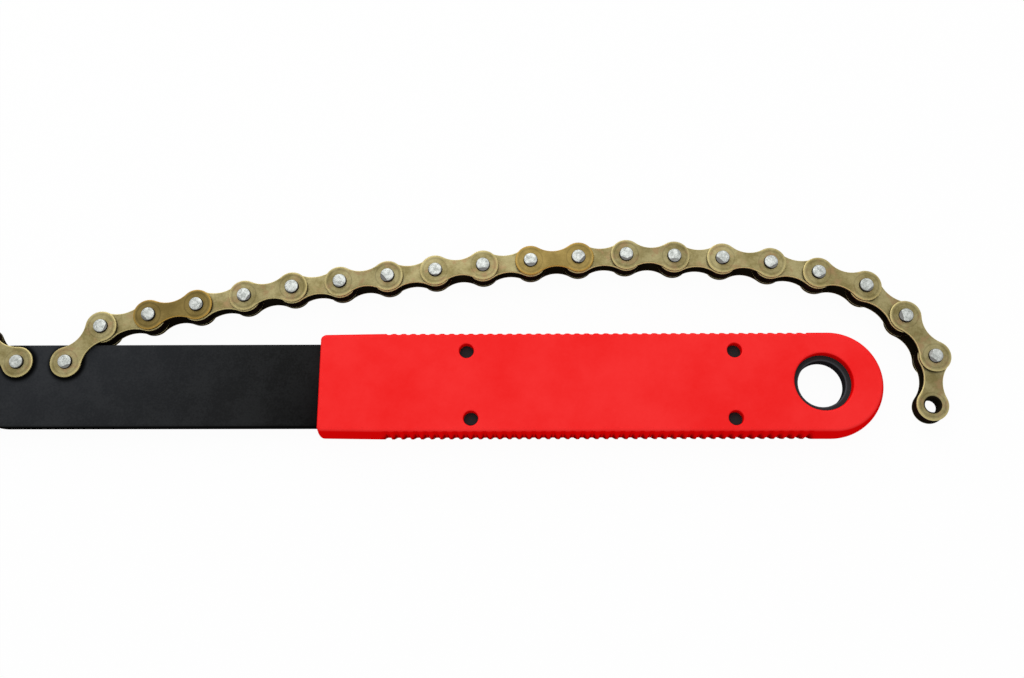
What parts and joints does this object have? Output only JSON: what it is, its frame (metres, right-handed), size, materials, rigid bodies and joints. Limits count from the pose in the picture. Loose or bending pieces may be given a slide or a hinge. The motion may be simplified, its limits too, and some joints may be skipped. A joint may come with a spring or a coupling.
{
  "type": "bicycle chain whip",
  "caption": "Flat steel bar with a moulded notched grip, a hang hole and riveted lengths of roller chain that hold a sprocket.",
  "frame": {"origin": "centre of the hang hole, at the middle of the bar's thickness", "axes": "+X along the bar to the grip's round end, +Y across the bar to the edge that carries the chains, +Z out of the flat face"},
  "size_m": [0.2937, 0.0531, 0.0088],
  "materials": {
    "black_steel": "satin black coat",
    "red_grip": "soft matte",
    "plated_steel": "bronze-coloured plating",
    "pin_steel": "bright, turned",
    "roller_steel": "dark, oiled"
  },
  "bodies": {
    "handle": {"bar": "black_steel", "grip": "red_grip"},
    "long_link_01": {"long_outer_plates_01": "plated_steel", "long_pins_01": "pin_steel"},
    "long_link_02": {"long_inner_plates_02": "plated_steel"},
    "long_roller_02": {"long_roller_02": "roller_steel"},
    "long_roller_03": {"long_roller_03": "roller_steel"},
    "long_link_03": {"long_outer_plates_03": "plated_steel", "long_pins_03": "pin_steel"},
    "long_link_04": {"long_inner_plates_04": "plated_steel"},
    "long_roller_04": {"long_roller_04": "roller_steel"},
    "long_roller_05": {"long_roller_05": "roller_steel"},
    "long_link_05": {"long_outer_plates_05": "plated_steel", "long_pins_05": "pin_steel"},
    "long_link_06": {"long_inner_plates_06": "plated_steel"},
    "long_roller_06": {"long_roller_06": "roller_steel"},
    "long_roller_07": {"long_roller_07": "roller_steel"},
    "long_link_07": {"long_outer_plates_07": "plated_steel", "long_pins_07": "pin_steel"},
    "long_link_08": {"long_inner_plates_08": "plated_steel"},
    "long_roller_08": {"long_roller_08": "roller_steel"},
    "long_roller_09": {"long_roller_09": "roller_steel"},
    "long_link_09": {"long_outer_plates_09": "plated_steel", "long_pins_09": "pin_steel"},
    "long_link_10": {"long_inner_plates_10": "plated_steel"},
    "long_roller_10": {"long_roller_10": "roller_steel"},
    "long_roller_11": {"long_roller_11": "roller_steel"},
    "long_link_11": {"long_outer_plates_11": "plated_steel", "long_pins_11": "pin_steel"},
    "long_link_12": {"long_inner_plates_12": "plated_steel"},
    "long_roller_12": {"long_roller_12": "roller_steel"},
    "long_roller_13": {"long_roller_13": "roller_steel"},
    "long_link_13": {"long_outer_plates_13": "plated_steel", "long_pins_13": "pin_steel"},
    "long_link_14": {"long_inner_plates_14": "plated_steel"},
    "long_roller_14": {"long_roller_14": "roller_steel"},
    "long_roller_15": {"long_roller_15": "roller_steel"},
    "long_link_15": {"long_outer_plates_15": "plated_steel", "long_pins_15": "pin_steel"},
    "long_link_16": {"long_inner_plates_16": "plated_steel"},
    "long_roller_16": {"long_roller_16": "roller_steel"},
    "long_roller_17": {"long_roller_17": "roller_steel"},
    "long_link_17": {"long_outer_plates_17": "plated_steel", "long_pins_17": "pin_steel"},
    "long_link_18": {"long_inner_plates_18": "plated_steel"},
    "long_roller_18": {"long_roller_18": "roller_steel"},
    "long_roller_19": {"long_roller_19": "roller_steel"},
    "long_link_19": {"long_outer_plates_19": "plated_steel", "long_pins_19": "pin_steel"},
    "long_link_20": {"long_inner_plates_20": "plated_steel"},
    "long_roller_20": {"long_roller_20": "roller_steel"},
    "long_roller_21": {"long_roller_21": "roller_steel"},
    "short_link_01": {"short_outer_link_01": "plated_steel"},
    "short_link_02": {"short_inner_plates_02": "plated_steel"},
    "short_roller_02": {"short_roller_02": "roller_steel"},
    "short_roller_03": {"short_roller_03": "roller_steel"},
    "short_link_03": {"short_outer_link_03": "plated_steel"},
    "short_link_04": {"short_inner_plates_04": "plated_steel"},
    "short_roller_04": {"short_roller_04": "roller_steel"},
    "short_roller_05": {"short_roller_05": "roller_steel"}
  },
  "joints": [
    {"name": "long_pivot_01", "type": "hinge", "parent": "handle", "child": "long_link_01", "pos_m": [-0.1957, 0.006, 0], "axis": [0, 0, 1], "range_deg": [-1, 82]},
    {"name": "long_pivot_02", "type": "hinge", "parent": "long_link_01", "child": "long_link_02", "pos_m": [-0.18742, 0.01563, 0], "axis": [0, 0, -1], "range_deg": [-67.5, 1]},
    {"name": "long_roller_02_spin", "type": "hinge", "parent": "long_link_02", "child": "long_roller_02", "pos_m": [-0.18742, 0.01563, 0], "axis": [0, 0, 1], "continuous": true},
    {"name": "long_roller_03_spin", "type": "hinge", "parent": "long_link_02", "child": "long_roller_03", "pos_m": [-0.17513, 0.01883, 0], "axis": [0, 0, 1], "continuous": true},
    {"name": "long_pivot_03", "type": "hinge", "parent": "long_link_02", "child": "long_link_03", "pos_m": [-0.17513, 0.01883, 0], "axis": [0, 0, 1], "range_deg": [-3, 35]},
    {"name": "long_pivot_04", "type": "hinge", "parent": "long_link_03", "child": "long_link_04", "pos_m": [-0.16273, 0.0216, 0], "axis": [0, 0, -1], "range_deg": [-34, 3.5]},
    {"name": "long_roller_04_spin", "type": "hinge", "parent": "long_link_04", "child": "long_roller_04", "pos_m": [-0.16273, 0.0216, 0], "axis": [0, 0, 1], "continuous": true},
    {"name": "long_roller_05_spin", "type": "hinge", "parent": "long_link_04", "child": "long_roller_05", "pos_m": [-0.15028, 0.02409, 0], "axis": [0, 0, 1], "continuous": true},
    {"name": "long_pivot_05", "type": "hinge", "parent": "long_link_04", "child": "long_link_05", "pos_m": [-0.15028, 0.02409, 0], "axis": [0, 0, 1], "range_deg": [-3.5, 34]},
    {"name": "long_pivot_06", "type": "hinge", "parent": "long_link_05", "child": "long_link_06", "pos_m": [-0.13778, 0.02636, 0], "axis": [0, 0, -1], "range_deg": [-36, 4]},
    {"name": "long_roller_06_spin", "type": "hinge", "parent": "long_link_06", "child": "long_roller_06", "pos_m": [-0.13778, 0.02636, 0], "axis": [0, 0, 1], "continuous": true},
    {"name": "long_roller_07_spin", "type": "hinge", "parent": "long_link_06", "child": "long_roller_07", "pos_m": [-0.12518, 0.02789, 0], "axis": [0, 0, 1], "continuous": true},
    {"name": "long_pivot_07", "type": "hinge", "parent": "long_link_06", "child": "long_link_07", "pos_m": [-0.12518, 0.02789, 0], "axis": [0, 0, 1], "range_deg": [-4, 32.5]},
    {"name": "long_pivot_08", "type": "hinge", "parent": "long_link_07", "child": "long_link_08", "pos_m": [-0.11257, 0.02945, 0], "axis": [0, 0, -1], "range_deg": [-33, 4.5]},
    {"name": "long_roller_08_spin", "type": "hinge", "parent": "long_link_08", "child": "long_roller_08", "pos_m": [-0.11257, 0.02945, 0], "axis": [0, 0, 1], "continuous": true},
    {"name": "long_roller_09_spin", "type": "hinge", "parent": "long_link_08", "child": "long_roller_09", "pos_m": [-0.09997, 0.03098, 0], "axis": [0, 0, 1], "continuous": true},
    {"name": "long_pivot_09", "type": "hinge", "parent": "long_link_08", "child": "long_link_09", "pos_m": [-0.09997, 0.03098, 0], "axis": [0, 0, 1], "range_deg": [-5, 33.5]},
    {"name": "long_pivot_10", "type": "hinge", "parent": "long_link_09", "child": "long_link_10", "pos_m": [-0.08734, 0.03233, 0], "axis": [0, 0, -1], "range_deg": [-33, 5.5]},
    {"name": "long_roller_10_spin", "type": "hinge", "parent": "long_link_10", "child": "long_roller_10", "pos_m": [-0.08734, 0.03233, 0], "axis": [0, 0, 1], "continuous": true},
    {"name": "long_roller_11_spin", "type": "hinge", "parent": "long_link_10", "child": "long_roller_11", "pos_m": [-0.0747, 0.03359, 0], "axis": [0, 0, 1], "continuous": true},
    {"name": "long_pivot_11", "type": "hinge", "parent": "long_link_10", "child": "long_link_11", "pos_m": [-0.0747, 0.03359, 0], "axis": [0, 0, 1], "range_deg": [-6, 34.5]},
    {"name": "long_pivot_12", "type": "hinge", "parent": "long_link_11", "child": "long_link_12", "pos_m": [-0.06203, 0.03448, 0], "axis": [0, 0, -1], "range_deg": [-34, 7]},
    {"name": "long_roller_12_spin", "type": "hinge", "parent": "long_link_12", "child": "long_roller_12", "pos_m": [-0.06203, 0.03448, 0], "axis": [0, 0, 1], "continuous": true},
    {"name": "long_roller_13_spin", "type": "hinge", "parent": "long_link_12", "child": "long_roller_13", "pos_m": [-0.04935, 0.03514, 0], "axis": [0, 0, 1], "continuous": true},
    {"name": "long_pivot_13", "type": "hinge", "parent": "long_link_12", "child": "long_link_13", "pos_m": [-0.04935, 0.03514, 0], "axis": [0, 0, 1], "range_deg": [-8, 38]},
    {"name": "long_pivot_14", "type": "hinge", "parent": "long_link_13", "child": "long_link_14", "pos_m": [-0.03666, 0.03465, 0], "axis": [0, 0, -1], "range_deg": [-33.5, 9.5]},
    {"name": "long_roller_14_spin", "type": "hinge", "parent": "long_link_14", "child": "long_roller_14", "pos_m": [-0.03666, 0.03465, 0], "axis": [0, 0, 1], "continuous": true},
    {"name": "long_roller_15_spin", "type": "hinge", "parent": "long_link_14", "child": "long_roller_15", "pos_m": [-0.02397, 0.03406, 0], "axis": [0, 0, 1], "continuous": true},
    {"name": "long_pivot_15", "type": "hinge", "parent": "long_link_14", "child": "long_link_15", "pos_m": [-0.02397, 0.03406, 0], "axis": [0, 0, 1], "range_deg": [-11.5, 36]},
    {"name": "long_pivot_16", "type": "hinge", "parent": "long_link_15", "child": "long_link_16", "pos_m": [-0.01134, 0.03273, 0], "axis": [0, 0, -1], "range_deg": [-39.5, 14]},
    {"name": "long_roller_16_spin", "type": "hinge", "parent": "long_link_16", "child": "long_roller_16", "pos_m": [-0.01134, 0.03273, 0], "axis": [0, 0, 1], "continuous": true},
    {"name": "long_roller_17_spin", "type": "hinge", "parent": "long_link_16", "child": "long_roller_17", "pos_m": [0.00105, 0.02994, 0], "axis": [0, 0, 1], "continuous": true},
    {"name": "long_pivot_17", "type": "hinge", "parent": "long_link_16", "child": "long_link_17", "pos_m": [0.00105, 0.02994, 0], "axis": [0, 0, 1], "range_deg": [-15.5, 37]},
    {"name": "long_pivot_18", "type": "hinge", "parent": "long_link_17", "child": "long_link_18", "pos_m": [0.01319, 0.0262, 0], "axis": [0, 0, -1], "range_deg": [-57, 9]},
    {"name": "long_roller_18_spin", "type": "hinge", "parent": "long_link_18", "child": "long_roller_18", "pos_m": [0.01319, 0.0262, 0], "axis": [0, 0, 1], "continuous": true},
    {"name": "long_roller_19_spin", "type": "hinge", "parent": "long_link_18", "child": "long_roller_19", "pos_m": [0.02276, 0.01785, 0], "axis": [0, 0, 1], "continuous": true},
    {"name": "long_pivot_19", "type": "hinge", "parent": "long_link_18", "child": "long_link_19", "pos_m": [0.02276, 0.01785, 0], "axis": [0, 0, 1], "range_deg": [-15, 50.5]},
    {"name": "long_pivot_20", "type": "hinge", "parent": "long_link_19", "child": "long_link_20", "pos_m": [0.02933, 0.00699, 0], "axis": [0, 0, -1], "range_deg": [-71, 1]},
    {"name": "long_roller_20_spin", "type": "hinge", "parent": "long_link_20", "child": "long_roller_20", "pos_m": [0.02933, 0.00699, 0], "axis": [0, 0, 1], "continuous": true},
    {"name": "long_roller_21_spin", "type": "hinge", "parent": "long_link_20", "child": "long_roller_21", "pos_m": [0.02779, -0.00562, 0], "axis": [0, 0, 1], "continuous": true},
    {"name": "short_pivot_01", "type": "hinge", "parent": "handle", "child": "short_link_01", "pos_m": [-0.2084, 0.006, 0], "axis": [0, 0, 1], "range_deg": [-55, 5]},
    {"name": "short_pivot_02", "type": "hinge", "parent": "short_link_01", "child": "short_link_02", "pos_m": [-0.21923, 0.01264, 0], "axis": [0, 0, -1], "range_deg": [-16.5, 49.5]},
    {"name": "short_roller_02_spin", "type": "hinge", "parent": "short_link_02", "child": "short_roller_02", "pos_m": [-0.21923, 0.01264, 0], "axis": [0, 0, 1], "continuous": true},
    {"name": "short_roller_03_spin", "type": "hinge", "parent": "short_link_02", "child": "short_roller_03", "pos_m": [-0.2315, 0.01592, 0], "axis": [0, 0, 1], "continuous": true},
    {"name": "short_pivot_03", "type": "hinge", "parent": "short_link_02", "child": "short_link_03", "pos_m": [-0.2315, 0.01592, 0], "axis": [0, 0, 1], "range_deg": [-52, 14]},
    {"name": "short_pivot_04", "type": "hinge", "parent": "short_link_03", "child": "short_link_04", "pos_m": [-0.24416, 0.01504, 0], "axis": [0, 0, -1], "range_deg": [-17, 49]},
    {"name": "short_roller_04_spin", "type": "hinge", "parent": "short_link_04", "child": "short_roller_04", "pos_m": [-0.24416, 0.01504, 0], "axis": [0, 0, 1], "continuous": true},
    {"name": "short_roller_05_spin", "type": "hinge", "parent": "short_link_04", "child": "short_roller_05", "pos_m": [-0.2561, 0.01069, 0], "axis": [0, 0, 1], "continuous": true}
  ]
}
